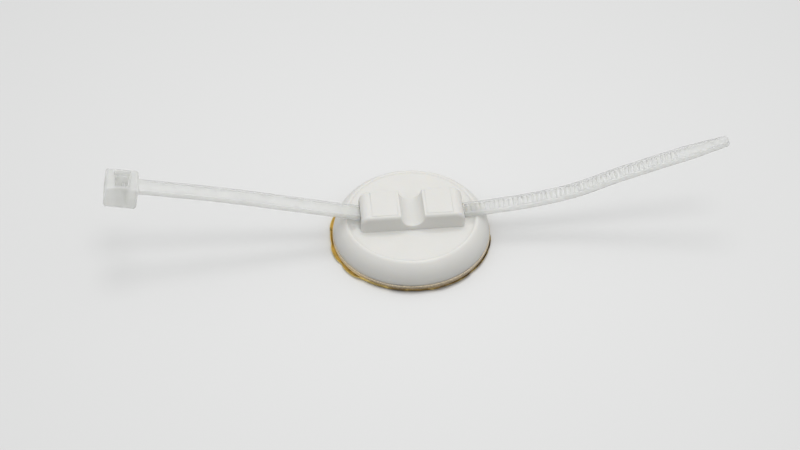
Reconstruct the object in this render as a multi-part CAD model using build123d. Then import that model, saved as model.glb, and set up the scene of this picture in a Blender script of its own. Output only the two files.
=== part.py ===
"""Stick-on cable holder: a round moulded base with a saddle block, and a cable tie threaded through it.

The release liner under the base lies on the surface. Z is up, X runs along the tie towards its tail,
and Y lies along the cable that the saddle takes. The origin is the middle of the base, at the surface.
All sizes are in millimetres.
"""
from build123d import *
from math import cos, radians, sin, tan
import os

# Stack under the base
LINER_THICKNESS = 0.15
PAD_THICKNESS = 0.75
PAD_RADIUS = 12.55          # a hair wider than the base
BASE_BOTTOM = LINER_THICKNESS + PAD_THICKNESS

# Round base, with heights from its underside
BASE_RADIUS = 12.45
BASE_EDGE_CHAMFER = 0.12
RIM_FOOT_HEIGHT = 0.35      # upright band at the foot of the rim
RIM_HEIGHT = 3.5
RIM_LAND_RADIUS = 10.5      # outer edge of the narrow land on top of the rim
RIM_BULGE = 0.42            # how far the dome stands out from a straight cone
FLOOR_RADIUS = 10.05
FLOOR_HEIGHT = 3.35         # the floor lies a little below the rim's land
FLOOR = BASE_BOTTOM + FLOOR_HEIGHT

# Saddle block on the floor
BLOCK_LENGTH = 16.4
BLOCK_WIDTH = 6.5
BLOCK_HEIGHT = 2.9
BLOCK_END_RADIUS = 1.6      # shoulders at the two ends
BLOCK_EDGE_RADIUS = 0.6     # along the front and back faces
BLOCK_ROOT = 0.5            # how deep the block runs into the base
ROOT_MARGIN = 0.1           # edges nearer than this to the root's underside stay sharp
VALLEY_RADIUS = 1.8
VALLEY_BOTTOM = 0.85        # above the floor
VALLEY_EDGE_RADIUS = 0.2    # all round the valley's lips and its two ends
PANEL_START = 2.35          # each block's raised panel, from the middle outwards
PANEL_END = 6.3
PANEL_WIDTH = 5.5
PANEL_RISE = 0.1

# Strap tunnel: it enters at the block's ends and dips under the valley
TUNNEL_WIDTH = 4.0
TUNNEL_REACH = 8.6          # half its length, a little past the block's ends
TUNNEL_MOUTH_FLOOR = 0.0    # heights above the base's floor
TUNNEL_MOUTH_ROOF = 2.1
TUNNEL_MID_FLOOR = -0.7
TUNNEL_MID_ROOF = 0.4
TUNNEL_CORNER_RADIUS = 0.45

# Cable tie
STRAP_WIDTH = 2.5
STRAP_THICKNESS = 0.9
RAIL_WIDTH = 0.38
CHANNEL_DEPTH = 0.1
TOOTH_DEPTH = 0.4
TOOTH_PITCH = 0.76
TOOTH_LEAN = 0.5            # how far a notch's root lies behind its mouth's middle
MOUTH_SHARE = 0.9           # how much of the pitch a notch's mouth takes
TEETH_START = 43.0          # along the strap, from its root in the head
SMOOTH_TIP = 7.0            # bare length at the tail
TAPER_LENGTH = 6.4
TIP_WIDTH = 1.5
TIP_CORNER_RADIUS = 0.65
TRIM_MARGIN = 0.01          # the trim stands this far off the strap's full width
HEAD_LENGTH = 5.1
HEAD_WIDTH = 4.8
HEAD_HEIGHT = 4.1
HEAD_EDGE_RADIUS = 0.5
HEAD_DROP = 0.7             # the head's middle lies below the strap's line
NECK_LENGTH = 1.6
NECK_WIDTH = 2.7
FUNNEL_LENGTH = 2.5
FUNNEL_WIDTH = 3.4
FUNNEL_DEPTH = 0.8
SLOT_LENGTH = 1.9
SLOT_WIDTH = 2.8
PAWL_WIDTH = 2.1
PAWL_THICKNESS = 0.4
PAWL_TIP_GAP = 1.1          # between the pawl's tip and the slot's far wall
PAWL_RISE = 2.3             # heights above the head's underside
PAWL_ROOT_LOW = 0.3
PAWL_ROOT_HIGH = 1.1
PAWL_ROOT_DEPTH = 0.2       # how far the pawl's root runs into the slot's wall
NECK_ROOT = 1.0             # how far the neck runs into the head

# The strap's middle line as (x, z), from its root in the head to the tip of its tail
STRAP_ROUTE = [
    (-42.1, 13.87),
    (-30.5, 11.43),
    (-9.0, 5.76),
    (-4.3, 4.42),
    (0.5, 3.95),
    (12.0, 5.12),
    (19.0, 5.98),
    (25.0, 7.28),
    (28.5, 8.55),
    (31.9, 10.07),
    (38.5, 12.47),
    (49.6, 16.2),
]
ARC_SHARE = 0.45            # how much of a run its bend may take

# Release liner: its reach from the middle by direction, as (degrees, radius)
LINER_OUTLINE = [
    (15, 12.6),
    (50, 12.55),
    (85, 12.6),
    (115, 12.85),
    (143, 12.9),
    (160, 13.3),
    (176, 12.95),
    (188, 12.95),
    (198, 13.25),
    (207, 12.95),
    (217, 13.25),
    (231, 12.85),
    (250, 12.95),
    (272, 13.05),
    (295, 13.3),
    (318, 12.95),
    (342, 12.8),
]
LINER_LIP_THICKNESS = 0.1
LINER_LIP_HEIGHT = 0.85     # where the edge turns up most
LINER_LIP_DIRECTION = 230   # degrees, towards the front left
LINER_LIP_FALL = 0.3        # share of that rise by which the slope ends under the film at the far side


def strap_plane(start, end):
    """A plane at start whose x runs to end and whose y is the strap's upper side."""
    run = (end[0] - start[0], 0, end[1] - start[1])
    return Plane(origin=(start[0], 0, start[1]), x_dir=run, z_dir=(0, -1, 0))


def bend_radius(before, corner, after):
    """The radius of the bend at a corner of the route, as large as its two runs allow."""
    run_in = Vector(corner[0] - before[0], 0, corner[1] - before[1])
    run_out = Vector(after[0] - corner[0], 0, after[1] - corner[1])
    turn = radians(run_in.get_angle(run_out))
    return ARC_SHARE * min(run_in.length, run_out.length) / tan(turn / 2)


def strap_path(cut_back=0.0):
    """The strap's middle line, stopping cut_back short of the tip."""
    route = list(STRAP_ROUTE)
    before, tip = Vector(*route[-2]), Vector(*route[-1])
    end = tip - (tip - before).normalized() * cut_back
    route[-1] = (end.X, end.Y)
    radii = [bend_radius(*route[i - 1:i + 2]) for i in range(1, len(route) - 1)]
    return FilletPolyline(*[(x, 0, z) for x, z in route], radius=radii)


def strap_bar():
    """The plain strap with a shallow channel between its two side rails."""
    start = strap_plane(*STRAP_ROUTE[:2])
    across = Plane(origin=start.origin, x_dir=(0, 1, 0), z_dir=start.x_dir)
    bar = sweep(across * Rectangle(STRAP_WIDTH, STRAP_THICKNESS), path=strap_path())
    groove = Pos(0, STRAP_THICKNESS / 2) * Rectangle(STRAP_WIDTH - 2 * RAIL_WIDTH, 2 * CHANNEL_DEPTH)
    channel = sweep(across * groove, path=strap_path(cut_back=TIP_WIDTH))
    return bar - channel


def tooth_notches():
    """One leaning notch between each two teeth, in the channel."""
    path = strap_path()
    half_pitch = TOOTH_PITCH / 2
    top = STRAP_THICKNESS / 2
    count = int((path.length - TEETH_START - SMOOTH_TIP) / TOOTH_PITCH)
    notches = []
    for index in range(count):
        share = (TEETH_START + index * TOOTH_PITCH) / path.length
        place = Plane(origin=path @ share, x_dir=path % share, z_dir=(0, -1, 0))
        root = (-TOOTH_LEAN * half_pitch, top - TOOTH_DEPTH)
        reach = MOUTH_SHARE * half_pitch
        mouth = [(-reach, top + CHANNEL_DEPTH), (reach, top + CHANNEL_DEPTH)]
        profile = make_face(Polyline(root, mouth[1], mouth[0], close=True))
        notches.append(extrude(place * profile, amount=STRAP_WIDTH / 2 - RAIL_WIDTH, both=True))
    return notches


def tail_trim():
    """What the tail's taper and rounded tip take off the strap."""
    tail = strap_plane(STRAP_ROUTE[-1], STRAP_ROUTE[-2])
    plan = Plane(origin=tail.origin, x_dir=tail.x_dir, z_dir=tail.y_dir)
    half, tip = STRAP_WIDTH / 2 + TRIM_MARGIN, TIP_WIDTH / 2
    outline = Polyline((0, -tip), (TAPER_LENGTH, -half), (TAPER_LENGTH, half), (0, tip), close=True)
    kept = make_face(outline)
    kept = fillet(kept.vertices().group_by(Axis.X)[0], radius=TIP_CORNER_RADIUS)
    blank = Pos((TAPER_LENGTH - TIP_WIDTH) / 2, 0) * Rectangle(TAPER_LENGTH + TIP_WIDTH, 2 * STRAP_WIDTH)
    return extrude(plan * (blank - kept), amount=2 * STRAP_THICKNESS, both=True)


def tie_head():
    """The locking head with its funnel, its slot and the pawl inside, in the strap's own plane."""
    place = strap_plane(*STRAP_ROUTE[:2])
    middle = (-HEAD_LENGTH / 2, -HEAD_DROP)
    body = Pos(*middle) * Box(HEAD_LENGTH, HEAD_HEIGHT, HEAD_WIDTH)
    body = fillet(body.edges(), radius=HEAD_EDGE_RADIUS)
    wide, narrow = NECK_WIDTH / 2, STRAP_WIDTH / 2
    neck_outline = Polyline(
        (-NECK_ROOT, -wide), (0, -wide), (NECK_LENGTH, -narrow),
        (NECK_LENGTH, narrow), (0, wide), (-NECK_ROOT, wide), close=True)
    neck = Rot(90, 0, 0) * extrude(make_face(neck_outline), amount=STRAP_THICKNESS / 2, both=True)
    top = middle[1] + HEAD_HEIGHT / 2
    bottom = middle[1] - HEAD_HEIGHT / 2
    funnel = Pos(middle[0], top) * Box(FUNNEL_LENGTH, 2 * FUNNEL_DEPTH, FUNNEL_WIDTH)
    slot = Pos(*middle) * Box(SLOT_LENGTH, 2 * HEAD_HEIGHT, SLOT_WIDTH)
    wall = middle[0] + SLOT_LENGTH / 2
    tip = middle[0] - SLOT_LENGTH / 2 + PAWL_TIP_GAP
    root = wall + PAWL_ROOT_DEPTH
    pawl_outline = Polyline(
        (root, bottom + PAWL_ROOT_LOW), (root, bottom + PAWL_ROOT_HIGH),
        (tip + PAWL_THICKNESS, bottom + PAWL_RISE), (tip, bottom + PAWL_RISE),
        (wall - PAWL_THICKNESS / 2, bottom + PAWL_ROOT_LOW), close=True)
    pawl = extrude(make_face(pawl_outline), amount=PAWL_WIDTH / 2, both=True)
    return place * (body + neck - funnel - slot + pawl)


def cable_tie():
    """The whole tie, one moulding."""
    strap = strap_bar() - tail_trim() - tooth_notches()
    return strap + tie_head()


def base_disc():
    """The round base: a domed rim with a narrow land, and a floor a little below it."""
    foot = Vector(BASE_RADIUS, RIM_FOOT_HEIGHT)
    land = Vector(RIM_LAND_RADIUS, RIM_HEIGHT)
    outwards = (foot - land).rotate(Axis.Z, 90).normalized()
    bulge = (foot + land) / 2 + outwards * RIM_BULGE
    underside = Polyline(
        (0, FLOOR_HEIGHT), (0, 0), (BASE_RADIUS - BASE_EDGE_CHAMFER, 0),
        (BASE_RADIUS, BASE_EDGE_CHAMFER), (BASE_RADIUS, RIM_FOOT_HEIGHT))
    dome = ThreePointArc(foot, bulge, land)
    step = FLOOR_RADIUS + (RIM_HEIGHT - FLOOR_HEIGHT) / 2
    top = Polyline(
        (RIM_LAND_RADIUS, RIM_HEIGHT), (step, RIM_HEIGHT), (FLOOR_RADIUS, FLOOR_HEIGHT), (0, FLOOR_HEIGHT))
    section = make_face(underside + dome + top)
    return Pos(0, 0, BASE_BOTTOM) * revolve(Plane.XZ * section, axis=Axis.Z)


def plain_block():
    """The saddle block before its valley is cut, with rounded ends and front and back edges."""
    side = Pos(0, (BLOCK_HEIGHT - BLOCK_ROOT) / 2) * Rectangle(BLOCK_LENGTH, BLOCK_HEIGHT + BLOCK_ROOT)
    side = fillet(side.vertices().group_by(Axis.Y)[-1], radius=BLOCK_END_RADIUS)
    block = extrude(Plane.XZ * side, amount=BLOCK_WIDTH / 2, both=True)
    outlines = block.faces().filter_by(Axis.Y).edges()
    outlines = outlines.filter_by(lambda edge: edge.center().Z > ROOT_MARGIN - BLOCK_ROOT)
    return fillet(outlines, radius=BLOCK_EDGE_RADIUS)


def valley():
    """The half-round space that the cable lies in, open upwards."""
    middle = VALLEY_BOTTOM + VALLEY_RADIUS
    section = Pos(0, middle) * Circle(VALLEY_RADIUS)
    section += Pos(0, middle + BLOCK_HEIGHT / 2) * Rectangle(2 * VALLEY_RADIUS, BLOCK_HEIGHT)
    return extrude(Plane.XZ * section, amount=BLOCK_WIDTH, both=True)


def top_panels():
    """The slightly raised panel on each block's top."""
    length = PANEL_END - PANEL_START
    panel = Box(length, PANEL_WIDTH, 2 * PANEL_RISE)
    middle = (PANEL_START + PANEL_END) / 2
    return Pos(middle, 0, BLOCK_HEIGHT) * panel + Pos(-middle, 0, BLOCK_HEIGHT) * panel


def saddle_block():
    """Two square-topped blocks with a half-round valley between them, in one piece."""
    block = plain_block() - valley()
    near = VALLEY_RADIUS + VALLEY_EDGE_RADIUS
    brink = block.edges().filter_by(lambda edge: abs(edge.center().X) < near)
    lips = brink.filter_by(Axis.Y).group_by(Axis.Z)[-1]
    ends = brink.filter_by(lambda edge: abs(edge.center().Y) > BLOCK_WIDTH / 2 - BLOCK_EDGE_RADIUS)
    ends = ends.filter_by(lambda edge: edge.center().Z > VALLEY_BOTTOM / 2)
    block = fillet(list(lips) + list(ends), radius=VALLEY_EDGE_RADIUS)
    return Pos(0, 0, FLOOR) * (block + top_panels())


def tunnel():
    """The strap's way through: high at the block's ends, low under the valley."""
    floor_arc = ThreePointArc(
        (-TUNNEL_REACH, TUNNEL_MOUTH_FLOOR), (0, TUNNEL_MID_FLOOR), (TUNNEL_REACH, TUNNEL_MOUTH_FLOOR))
    roof_arc = ThreePointArc(
        (TUNNEL_REACH, TUNNEL_MOUTH_ROOF), (0, TUNNEL_MID_ROOF), (-TUNNEL_REACH, TUNNEL_MOUTH_ROOF))
    ends = Line(floor_arc @ 1, roof_arc @ 0) + Line(roof_arc @ 1, floor_arc @ 0)
    section = make_face(floor_arc + roof_arc + ends)
    space = extrude(Plane.XZ * section, amount=TUNNEL_WIDTH / 2, both=True)
    roof_corners = space.edges().filter_by(GeomType.CIRCLE).sort_by(Axis.Z)[-2:]
    space = fillet(roof_corners, radius=TUNNEL_CORNER_RADIUS)
    return Pos(0, 0, FLOOR) * space


def mount_base():
    """The moulded base: disc and saddle block in one piece, with the strap's tunnel through it."""
    return base_disc() + saddle_block() - tunnel()


def adhesive_pad():
    """The round foam pad that sticks the base down."""
    pad = Cylinder(PAD_RADIUS, PAD_THICKNESS, align=(Align.CENTER, Align.CENTER, Align.MIN))
    return Pos(0, 0, LINER_THICKNESS) * pad


def liner_sheet(inset):
    """The liner's outline, drawn in by inset."""
    points = [
        ((radius - inset) * cos(radians(angle)), (radius - inset) * sin(radians(angle)))
        for angle, radius in LINER_OUTLINE]
    return make_face(Spline(*points, periodic=True))


def release_liner():
    """The film under the pad, with an edge that turns up most at the front left."""
    film = extrude(liner_sheet(0), amount=LINER_THICKNESS)
    wall = extrude(liner_sheet(0) - liner_sheet(LINER_LIP_THICKNESS), amount=LINER_LIP_HEIGHT)
    reach = 2 * BASE_RADIUS
    towards = (cos(radians(LINER_LIP_DIRECTION)), sin(radians(LINER_LIP_DIRECTION)))
    high = LINER_LIP_HEIGHT
    low = LINER_THICKNESS - (LINER_LIP_HEIGHT - LINER_THICKNESS) * LINER_LIP_FALL
    slope_side = make_face(Polyline(
        (-BASE_RADIUS, low), (BASE_RADIUS, high), (reach, high), (reach, -1), (-reach, -1), (-reach, low),
        close=True))
    slope_plane = Plane(origin=(0, 0, 0), x_dir=(*towards, 0), z_dir=(towards[1], -towards[0], 0))
    keep = extrude(slope_plane * slope_side, amount=reach, both=True)
    return film + (wall & keep)


NODES = {
    "mount_base": mount_base,
    "adhesive_pad": adhesive_pad,
    "release_liner": release_liner,
    "cable_tie": cable_tie,
}

os.makedirs("parts", exist_ok=True)
for node, make in NODES.items():
    export_step(make(), f"parts/{node}.step")
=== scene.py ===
"""The looks of a stick-on cable holder.

A white moulded base on a foam pad, the crinkled amber liner under it and a nylon cable tie.
"""
from math import atan2, cos, degrees, pi, radians, sin, sqrt

import bmesh
import bpy
from bpy.props import FloatProperty, FloatVectorProperty, PointerProperty
from mathutils import Matrix, Vector, noise


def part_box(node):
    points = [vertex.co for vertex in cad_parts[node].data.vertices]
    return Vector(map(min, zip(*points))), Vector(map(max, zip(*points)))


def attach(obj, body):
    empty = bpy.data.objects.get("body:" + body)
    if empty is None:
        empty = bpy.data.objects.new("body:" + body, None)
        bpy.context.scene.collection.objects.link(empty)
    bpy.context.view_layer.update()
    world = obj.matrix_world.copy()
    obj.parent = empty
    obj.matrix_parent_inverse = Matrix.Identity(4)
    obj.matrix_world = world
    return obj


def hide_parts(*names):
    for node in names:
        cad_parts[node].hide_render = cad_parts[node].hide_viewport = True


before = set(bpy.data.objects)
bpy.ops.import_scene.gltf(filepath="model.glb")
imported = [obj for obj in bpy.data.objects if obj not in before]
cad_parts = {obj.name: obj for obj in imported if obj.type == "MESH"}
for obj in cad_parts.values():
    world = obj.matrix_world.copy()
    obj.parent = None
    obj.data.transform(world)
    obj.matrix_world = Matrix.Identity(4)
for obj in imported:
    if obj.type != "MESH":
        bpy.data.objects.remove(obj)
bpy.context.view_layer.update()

bl_info = {
    "name": "Stick-on Cable Holder",
    "version": (1, 0, 0),
    "blender": (4, 5, 0),
    "location": "View3D > Sidebar > Cable Holder",
    "description": "Builds a round stick-on cable holder with a cable tie through its saddle",
    "category": "Object",
}

MM = 0.001
BODY = "root"

# Meshes
CAD_WELD = 0.002 * MM           # corners of a CAD node's triangles nearer than this are one
FLAT_WITHIN = radians(0.5)      # the tie's faces that turn less than this become one
PAD_SEGMENTS = 160              # round the pad

# The liner, a dish whose edge is then moved out, raised and creased
LINER_SEGMENTS = 360            # round the liner
LINER_WELD = 0.001 * MM
FLAT_RINGS = (0.0, 0.5, 0.9, 0.99)  # shares of the pad's radius
EDGE_FROM = 0.995               # share of the pad's radius past which a point is in the edge
EDGE_STEPS = 8                  # from the edge's foot to its top
WAVE_ENDS = 0.35                # share of a wave's height that is left at its two ends
WHOLE_GAP_RISE = 0.3 * MM       # edges this high stand off the pad by the whole gap
WHOLE_CREASE_RISE = 0.5 * MM    # and edges this high have the whole depth of crease
GAP_CURVE = 0.3                 # the gap opens quickly above the foot
LEAN_CURVE = 0.75               # and the lean outwards comes almost evenly
CREASE_KEPT = 0.6               # share of the crease depth that no crinkle changes
CREASE_FADE = 0.4               # share of the creases that is gone at the top
CRINKLE_DEPTH = 0.1 * MM
CRINKLES_ROUND = 7              # how fast crinkles follow each other round the liner
CRINKLES_UP = 1.6               # and from foot to top
LINER_WAVES = (
    # middle and half width in degrees, then reach and height in millimetres
    (163, 14, 0.6, 0.4),
    (180, 12, 0.4, 0.46),
    (196, 12, 0.7, 0.36),
    (217, 12, 0.7, 0.34),
    (238, 16, 0.3, 0.7),
    (262, 20, 0.4, 0.74),
    (287, 13, 0.56, 0.62),
    (300, 14, 0.5, 0.5),
    (323, 20, 0.3, 0.42),
    (343, 12, 0.2, 0.25),
)

# Patterns, as the scale of a noise over metres
MOULDING_CLOUD = 260.0
MOULDING_GRAIN = 2600.0
FOAM_CELLS = 4000.0
LINER_STREAKS = 700.0
LINER_DENTS = 900.0
NYLON_CLOUD = 500.0
NYLON_RIPPLE = 400.0
PAINTED_SHADE_FROM, PAINTED_SHADE_TO = -8.5 * MM, -5.5 * MM   # the painted shade on the film comes in between these, along X

# Stage
FLOOR_MARGIN = 0.02 * MM        # how far the floor lies under the liner
FLOOR_REACH = 3.0               # from its middle to each side, in metres
FLOOR_LIGHT_POOL = 7.0                # one over the radius of the painted pool of light in its middle, in metres
FLOOR_BOUNCE = (0.33, 0.33, 0.32)   # what it throws back on the holder
AIM_RIGHT, AIM_UP = -1.79 * MM, 1.61 * MM   # what the camera looks at, from the origin
LAMP_PLACES = {                 # in millimetres
    "front_lamp": (70, -110, 600),
    "back_lamp": (20, 215, 600),
}


# ---------------------------------------------------------------- settings

def length_prop(name, description, default):
    """A length that a user may change, in metres."""
    return FloatProperty(name=name, description=description, default=default, min=0.0,
                         subtype="DISTANCE", unit="LENGTH", precision=5)


def colour_prop(name, description, default):
    """A linear colour that a user may change."""
    return FloatVectorProperty(name=name, description=description, default=default, size=3,
                               min=0.0, max=1.0, subtype="COLOR")


def angle_prop(name, description, default):
    """An angle that a user may change, given here in degrees."""
    return FloatProperty(name=name, description=description, default=radians(default),
                         subtype="ANGLE", unit="ROTATION")


def brightness_prop(name, description, default):
    """A strength of light from the room that a user may change."""
    return FloatProperty(name=name, description=description, default=default, min=0.0)


class HolderSizes(bpy.types.PropertyGroup):
    """Sizes of the pieces that are modelled here."""
    edge_softening: length_prop(
        "Edge softening", "Rounding of the tie's sharp edges", 0.03 * MM)
    liner_thickness: length_prop(
        "Liner thickness", "Thickness of the liner film", 0.07 * MM)
    liner_gap: length_prop(
        "Liner gap", "How far the liner's edge stands off the pad before it is creased", 0.1 * MM)
    crease_depth: length_prop(
        "Crease depth", "Depth of the creases in the liner's edge", 0.09 * MM)
    pad_softness: length_prop(
        "Pad edge radius", "Rounding of the foam pad's edge", 0.05 * MM)


class HolderColours(bpy.types.PropertyGroup):
    """Colours of the finishes."""
    moulding: colour_prop("Moulding", "White plastic of the base", (0.735, 0.73, 0.7))
    foam: colour_prop("Foam", "Cream foam of the pad", (0.78, 0.68, 0.52))
    liner: colour_prop("Liner", "Amber film under the pad", (0.84, 0.64, 0.2))
    # painted shade: the brown that the amber film is darkened to on all but its left side
    liner_painted_shade: colour_prop("Liner painted shade", "Amber film where it lies double", (0.26, 0.16, 0.03))
    nylon: colour_prop("Nylon", "Natural nylon of the tie", (0.82, 0.83, 0.795))
    floor: colour_prop("Floor", "Pale floor that the holder lies on", (0.765, 0.768, 0.765))


class HolderStage(bpy.types.PropertyGroup):
    """Camera and light."""
    camera_azimuth: angle_prop(
        "Camera azimuth", "Direction that the camera looks from", -5.1)
    camera_elevation: angle_prop(
        "Camera elevation", "Angle of the camera above the floor", 43.5)
    camera_distance: length_prop(
        "Camera distance", "From the camera to what it looks at", 300 * MM)
    field_width: length_prop(
        "Field width", "Width that the camera sees at that distance", 127.9 * MM)
    lamp_size: length_prop(
        "Lamp size", "Width of each overhead lamp", 220 * MM)
    lamp_power: FloatProperty(
        name="Lamp power", description="Power of each overhead lamp in watts", default=0.62,
        min=0.0, subtype="POWER", unit="POWER")
    sky_low: brightness_prop(
        "Room below", "Brightness of the room straight below", 0.06)
    sky_high: brightness_prop(
        "Room overhead", "Brightness of the room straight above", 0.8)
    sky_sides: brightness_prop(
        "Room sides", "Extra brightness of the room at the tie's two ends", 0.46)


def settings(context):
    """The sizes, the colours and the stage."""
    scene = context.scene
    return scene.holder_sizes, scene.holder_colours, scene.holder_stage


# ---------------------------------------------------------------- meshes and objects

def cad_copy(node):
    """A bmesh of a CAD node with its loose triangles joined up."""
    bm = bmesh.new()
    bm.from_mesh(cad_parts[node].data)
    bmesh.ops.remove_doubles(bm, verts=bm.verts, dist=CAD_WELD)
    return bm


def pad_box():
    """The pad's lowest and highest corners, and its radius."""
    low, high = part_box("adhesive_pad")
    return low, high, (high.x - low.x) / 2


def add_object(context, name, data):
    """An object in the scene."""
    thing = bpy.data.objects.new(name, data)
    context.scene.collection.objects.link(thing)
    return thing


def mesh_object(context, name, bm, material):
    """An object made of a bmesh and a material."""
    mesh = bpy.data.meshes.new(name)
    bm.to_mesh(mesh)
    bm.free()
    mesh.materials.append(material)
    return add_object(context, name, mesh)


def finish_piece(context, name, bm, material, node):
    """A piece that rides on the holder and stands for a CAD node."""
    piece = mesh_object(context, name, bm, material)
    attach(piece, BODY)
    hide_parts(node)
    return piece


def smooth_shading(piece, sharp_from):
    """Smooth shading with edges sharp from an angle in degrees, and flat faces that stay flat."""
    piece.data.shade_smooth()
    piece.data.set_sharp_from_angle(angle=radians(sharp_from))
    weighted = piece.modifiers.new("flat faces", "WEIGHTED_NORMAL")
    weighted.keep_sharp = True


# ---------------------------------------------------------------- nodes

def feed(tree, socket, value):
    """Gives an input another node's output or a plain value."""
    if isinstance(value, bpy.types.NodeSocket):
        tree.links.new(value, socket)
    else:
        socket.default_value = value


def dress(tree, node, **inputs):
    """Feeds a node's inputs by name, with _ for a space."""
    for name, value in inputs.items():
        feed(tree, node.inputs[name.replace("_", " ")], value)
    return node


def add(tree, kind, **inputs):
    """A new node with its inputs fed."""
    return dress(tree, tree.nodes.new(kind), **inputs)


def arithmetic(tree, operation, *values):
    """The result of an operation on outputs and numbers."""
    node = tree.nodes.new("ShaderNodeMath")
    node.operation = operation
    for socket, value in zip(node.inputs, values):
        feed(tree, socket, value)
    return node.outputs["Value"]


def mixed(tree, factor, first, second):
    """The first colour where the factor is 0 and the second where it is 1."""
    node = tree.nodes.new("ShaderNodeMix")
    node.data_type = "RGBA"
    sockets = {socket.identifier: socket for socket in (*node.inputs, *node.outputs)}
    feed(tree, sockets["Factor_Float"], factor)
    feed(tree, sockets["A_Color"], first)
    feed(tree, sockets["B_Color"], second)
    return sockets["Result_Color"]


def rgba(colour, brightness=1.0):
    """A colour made brighter or darker, as sockets take it."""
    return (*[channel * brightness for channel in colour], 1.0)


def object_place(tree):
    """A point's place on its object, in metres."""
    return add(tree, "ShaderNodeTexCoord").outputs["Object"]


def mottle(tree, scale, detail=3.0):
    """A soft noise over the surface."""
    return add(tree, "ShaderNodeTexNoise", Vector=object_place(tree), Scale=scale,
               Detail=detail).outputs["Fac"]


def tint(tree, factor, *stops):
    """A colour that follows a pattern through stops of position, colour and brightness."""
    ramp = add(tree, "ShaderNodeValToRGB", Fac=factor)
    elements = ramp.color_ramp.elements
    while len(elements) < len(stops):
        elements.new(0.5)
    for element, (position, colour, brightness) in zip(elements, stops):
        element.position = position
        element.color = rgba(colour, brightness)
    return ramp.outputs["Color"]


def bump(tree, height, strength, distance):
    """A normal that follows a pattern's height."""
    return add(tree, "ShaderNodeBump", Height=height, Strength=strength,
               Distance=distance).outputs["Normal"]


# ---------------------------------------------------------------- materials

def new_material(name):
    """A material with its node tree and its shader."""
    material = bpy.data.materials.new(name)
    material.use_nodes = True
    tree = material.node_tree
    return material, tree, tree.nodes["Principled BSDF"]


def moulding_material(colours):
    """White moulded plastic with a fine satin grain."""
    material, tree, shader = new_material("white_moulding")
    white = colours.moulding
    dress(tree, shader,
          Base_Color=tint(tree, mottle(tree, MOULDING_CLOUD),
                          (0.3, white, 0.985), (0.7, white, 1.01)),
          Roughness=0.42,
          Subsurface_Weight=0.25,
          Subsurface_Radius=(1.0, 0.8, 0.55),
          Subsurface_Scale=1.0 * MM,
          Normal=bump(tree, mottle(tree, MOULDING_GRAIN), strength=0.12, distance=0.02 * MM))
    return material


def foam_material(colours):
    """Cream foam with fine cells."""
    material, tree, shader = new_material("foam_pad")
    cells = mottle(tree, FOAM_CELLS)
    dress(tree, shader,
          Base_Color=tint(tree, cells, (0.35, colours.foam, 0.8), (0.65, colours.foam, 1.1)),
          Roughness=0.85,
          Normal=bump(tree, cells, strength=0.5, distance=0.05 * MM))
    return material


def liner_material(colours):
    """Glossy amber film, with painted shade that turns it brown towards the right."""
    material, tree, shader = new_material("amber_liner")
    amber, brown = colours.liner, colours.liner_painted_shade
    streaks = mottle(tree, LINER_STREAKS, detail=4.0)
    unshaded = tint(tree, streaks, (0.3, amber, 0.6), (0.42, amber, 1.0), (0.65, amber, 1.18))
    shaded = tint(tree, streaks, (0.35, brown, 0.5), (0.5, brown, 1.0), (0.7, amber, 0.8))
    # Painted shade: the film turns from amber to brown between these two places along X, and stays
    # brown to the right
    across = add(tree, "ShaderNodeSeparateXYZ", Vector=object_place(tree)).outputs["X"]
    painted_shade_share = add(tree, "ShaderNodeMapRange", Value=across, From_Min=PAINTED_SHADE_FROM,
                  From_Max=PAINTED_SHADE_TO).outputs["Result"]
    dress(tree, shader,
          Base_Color=mixed(tree, painted_shade_share, unshaded, shaded),
          Metallic=0.8,
          Roughness=0.3,
          Coat_Weight=0.3,
          Coat_Roughness=0.12,
          Normal=bump(tree, mottle(tree, LINER_DENTS), strength=0.4, distance=0.06 * MM))
    return material


def nylon_material(colours):
    """Natural nylon: milky, and clear enough to show what lies behind a thin stretch."""
    material, tree, shader = new_material("natural_nylon")
    milk = colours.nylon
    dress(tree, shader,
          Base_Color=tint(tree, mottle(tree, NYLON_CLOUD), (0.3, milk, 0.97), (0.7, milk, 1.03)),
          Roughness=0.3,
          IOR=1.53,
          Alpha=0.4,
          Subsurface_Weight=1.0,
          Subsurface_Radius=(1.0, 1.0, 0.9),
          Subsurface_Scale=2.0 * MM,
          Normal=bump(tree, mottle(tree, NYLON_RIPPLE), strength=0.05, distance=0.02 * MM))
    return material


def floor_material(colours):
    """Plain pale card with a painted pool of light, a little brighter in the middle. It throws
    back less than it shows.
    """
    material, tree, shader = new_material("floor")
    # Painted pool of light: the floor's colour is brighter towards its middle
    spread = add(tree, "ShaderNodeMapping", Vector=object_place(tree), Scale=(FLOOR_LIGHT_POOL,) * 3)
    painted_light_pool = add(tree, "ShaderNodeTexGradient", Vector=spread.outputs["Vector"])
    painted_light_pool.gradient_type = "SPHERICAL"
    shown = tint(tree, painted_light_pool.outputs["Fac"], (0.0, colours.floor, 0.86), (1.0, colours.floor, 1.01))
    path = tree.nodes.new("ShaderNodeLightPath")
    seen = path.outputs["Is Camera Ray"]
    for way in ("Is Glossy Ray", "Is Transmission Ray"):
        seen = arithmetic(tree, "MAXIMUM", seen, path.outputs[way])
    dress(tree, shader,
          Base_Color=mixed(tree, seen, rgba(FLOOR_BOUNCE), shown),
          Roughness=0.9,
          Specular_IOR_Level=0.0)
    return material


# ---------------------------------------------------------------- pieces

class HOLDER_OT_base(bpy.types.Operator):
    """Make the white moulded base with its saddle block"""
    bl_idname = "holder.make_base"
    bl_label = "Make Base"

    def execute(self, context):
        _, colours, _ = settings(context)
        piece = finish_piece(context, "moulded_base", cad_copy("mount_base"),
                             moulding_material(colours), "mount_base")
        smooth_shading(piece, sharp_from=32)
        return {"FINISHED"}


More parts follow.
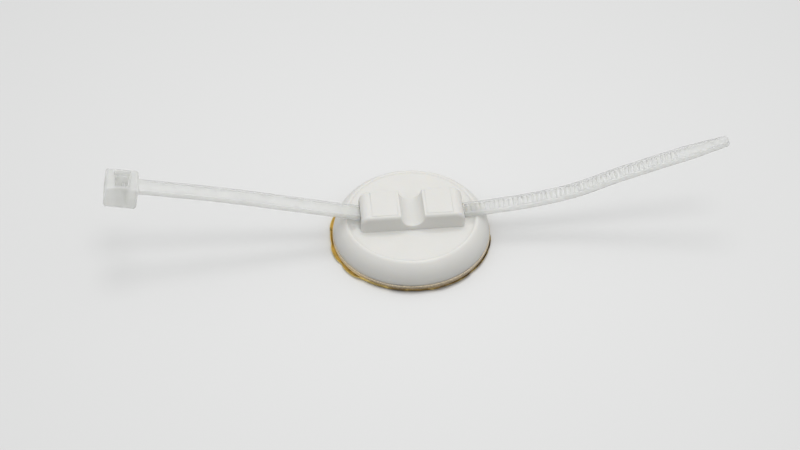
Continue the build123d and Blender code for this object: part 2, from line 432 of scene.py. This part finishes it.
class HOLDER_OT_pad(bpy.types.Operator):
    """Make the foam pad"""
    bl_idname = "holder.make_pad"
    bl_label = "Make Pad"

    def execute(self, context):
        sizes, colours, _ = settings(context)
        low, high, radius = pad_box()
        bm = bmesh.new()
        bmesh.ops.create_cone(bm, cap_ends=True, segments=PAD_SEGMENTS, radius1=radius,
                              radius2=radius, depth=high.z - low.z,
                              matrix=Matrix.Translation((low + high) / 2))
        rims = [edge for edge in bm.edges
                if any(len(face.verts) > 4 for face in edge.link_faces)]
        bmesh.ops.bevel(bm, geom=rims, offset=sizes.pad_softness, segments=3, profile=0.5,
                        affect="EDGES", material=-1)
        piece = finish_piece(context, "foam_pad", bm, foam_material(colours),
                             "adhesive_pad")
        smooth_shading(piece, sharp_from=50)
        return {"FINISHED"}


def liner_wave(angle):
    """Reach beyond the pad and height of the liner's edge in a direction, in metres."""
    reach, rise = 0.0, 0.0
    for middle, half_width, wave_reach, wave_rise in LINER_WAVES:
        across = (degrees(angle) % 360 - middle) / half_width
        if abs(across) < 1:
            swell = sqrt(1 - across * across)
            reach = max(reach, wave_reach * swell)
            rise = max(rise, wave_rise * (WAVE_ENDS + (1 - WAVE_ENDS) * swell))
    return reach * MM, rise * MM


class HOLDER_OT_liner(bpy.types.Operator):
    """Make the crinkled amber liner"""
    bl_idname = "holder.make_liner"
    bl_label = "Make Liner"

    def execute(self, context):
        sizes, colours, _ = settings(context)
        _, _, pad = pad_box()
        flat = [(share * pad, 0.0) for share in FLAT_RINGS]
        edge = [(pad, step / EDGE_STEPS) for step in range(EDGE_STEPS + 1)]
        bm = bmesh.new()
        line = [bm.verts.new((radius, 0.0, height)) for radius, height in flat + edge]
        runs = [bm.edges.new(pair) for pair in zip(line, line[1:])]
        bmesh.ops.spin(bm, geom=line + runs, cent=(0, 0, 0), axis=(0, 0, 1), angle=2 * pi,
                       steps=LINER_SEGMENTS, use_merge=True)
        bmesh.ops.remove_doubles(bm, verts=bm.verts, dist=LINER_WELD)
        for vert in bm.verts:
            self.place(vert, pad, sizes)
        bmesh.ops.recalc_face_normals(bm, faces=bm.faces)
        piece = finish_piece(context, "crinkled_liner", bm, liner_material(colours),
                             "release_liner")
        piece.data.shade_smooth()
        film = piece.modifiers.new("film", "SOLIDIFY")
        film.thickness = sizes.liner_thickness
        film.offset = 0.0
        return {"FINISHED"}

    def place(self, vert, pad, sizes):
        """Moves a point of the plain dish, whose edge is 1 high, to its place in the film."""
        share = vert.co.z
        floor = sizes.liner_thickness / 2
        if vert.co.xy.length < EDGE_FROM * pad:
            vert.co.z = floor
            return
        angle = atan2(vert.co.y, vert.co.x)
        reach, rise = liner_wave(angle)
        crinkle = noise.noise(Vector((cos(angle) * CRINKLES_ROUND, sin(angle) * CRINKLES_ROUND,
                                      share * CRINKLES_UP)))
        crease = sin(2 * pi * share) * sizes.crease_depth * (CREASE_KEPT + crinkle)
        gap = sizes.liner_gap * min(1.0, rise / WHOLE_GAP_RISE)
        radius = pad + gap * share ** GAP_CURVE + max(0.0, reach - gap) * share ** LEAN_CURVE
        radius += (min(share, 1 - share * CREASE_FADE) * (crease + crinkle * CRINKLE_DEPTH)
                   * min(1.0, rise / WHOLE_CREASE_RISE))
        vert.co = Vector((cos(angle) * radius, sin(angle) * radius, floor + share * rise))


class HOLDER_OT_tie(bpy.types.Operator):
    """Make the nylon cable tie"""
    bl_idname = "holder.make_tie"
    bl_label = "Make Tie"

    def execute(self, context):
        sizes, colours, _ = settings(context)
        bm = cad_copy("cable_tie")
        bmesh.ops.dissolve_limit(bm, angle_limit=FLAT_WITHIN, verts=bm.verts, edges=bm.edges)
        piece = finish_piece(context, "nylon_tie", bm, nylon_material(colours),
                             "cable_tie")
        softened = piece.modifiers.new("soft edges", "BEVEL")
        softened.width = sizes.edge_softening
        softened.segments = 2
        softened.limit_method = "ANGLE"
        softened.angle_limit = radians(35)
        smooth_shading(piece, sharp_from=25)
        return {"FINISHED"}


class HOLDER_OT_stage(bpy.types.Operator):
    """Make the floor, the lamps and the camera"""
    bl_idname = "holder.make_stage"
    bl_label = "Make Stage"

    def execute(self, context):
        _, colours, stage = settings(context)
        self.floor(context, colours)
        context.scene.world = self.room(stage)
        self.lamps(context, stage)
        self.camera(context, stage)
        return {"FINISHED"}

    def floor(self, context, colours):
        """A flat square under the holder."""
        bm = bmesh.new()
        bmesh.ops.create_grid(bm, x_segments=1, y_segments=1, size=FLOOR_REACH,
                              matrix=Matrix.Translation((0, 0, -FLOOR_MARGIN)))
        mesh_object(context, "floor", bm, floor_material(colours))

    def room(self, stage):
        """A soft white room, brighter overhead and at the tie's two ends than in front."""
        world = bpy.data.worlds.new("soft_room")
        world.use_nodes = True
        tree = world.node_tree
        direction = tree.nodes.new("ShaderNodeTexCoord").outputs["Generated"]
        split = add(tree, "ShaderNodeSeparateXYZ", Vector=direction)
        height = add(tree, "ShaderNodeMapRange", Value=split.outputs["Z"],
                     To_Min=stage.sky_low, To_Max=stage.sky_high)
        aside = arithmetic(tree, "ABSOLUTE", split.outputs["X"])
        strength = arithmetic(tree, "MULTIPLY_ADD", aside, stage.sky_sides,
                              height.outputs["Result"])
        dress(tree, tree.nodes["Background"], Color=(1.0, 1.0, 1.0, 1.0), Strength=strength)
        return world

    def lamps(self, context, stage):
        """Round lamps overhead that point at the holder."""
        for name, place in LAMP_PLACES.items():
            data = bpy.data.lights.new(name, "AREA")
            data.shape = "DISK"
            data.size = stage.lamp_size
            data.energy = stage.lamp_power
            lamp = add_object(context, name, data)
            lamp.location = Vector(place) * MM
            lamp.rotation_euler = (-lamp.location).to_track_quat("-Z", "Y").to_euler()

    def camera(self, context, stage):
        """A camera that looks down at the holder from the front."""
        azimuth, elevation = stage.camera_azimuth, stage.camera_elevation
        back = Vector((sin(azimuth) * cos(elevation), -cos(azimuth) * cos(elevation),
                       sin(elevation)))
        right = Vector((cos(azimuth), sin(azimuth), 0))
        up = back.cross(right)
        data = bpy.data.cameras.new("camera")
        data.lens = data.sensor_width * stage.camera_distance / stage.field_width
        data.clip_start = 10 * MM
        camera = add_object(context, "camera", data)
        camera.location = right * AIM_RIGHT + up * AIM_UP + back * stage.camera_distance
        camera.rotation_euler = (-back).to_track_quat("-Z", "Y").to_euler()
        context.scene.camera = camera


class HOLDER_PT_panel(bpy.types.Panel):
    """Lists what makes the cable holder"""
    bl_label = "Cable Holder"
    bl_idname = "HOLDER_PT_panel"
    bl_space_type = "VIEW_3D"
    bl_region_type = "UI"
    bl_category = "Cable Holder"

    def draw(self, context):
        for operator in OPERATORS:
            self.layout.operator(operator.bl_idname)
        for group in settings(context):
            box = self.layout.box()
            for name in group.__annotations__:
                box.prop(group, name)


OPERATORS = (HOLDER_OT_base, HOLDER_OT_pad, HOLDER_OT_liner, HOLDER_OT_tie, HOLDER_OT_stage)
CLASSES = (HolderSizes, HolderColours, HolderStage, *OPERATORS, HOLDER_PT_panel)


def register():
    for cls in CLASSES:
        bpy.utils.register_class(cls)
    bpy.types.Scene.holder_sizes = PointerProperty(type=HolderSizes)
    bpy.types.Scene.holder_colours = PointerProperty(type=HolderColours)
    bpy.types.Scene.holder_stage = PointerProperty(type=HolderStage)


def unregister():
    del bpy.types.Scene.holder_stage
    del bpy.types.Scene.holder_colours
    del bpy.types.Scene.holder_sizes
    for cls in reversed(CLASSES):
        bpy.utils.unregister_class(cls)


def main():
    register()
    bpy.context.scene.view_settings.view_transform = "Standard"
    bpy.ops.holder.make_base()
    bpy.ops.holder.make_pad()
    bpy.ops.holder.make_liner()
    bpy.ops.holder.make_tie()
    bpy.ops.holder.make_stage()
    bpy.context.view_layer.update()


if __name__ == "__main__":
    main()
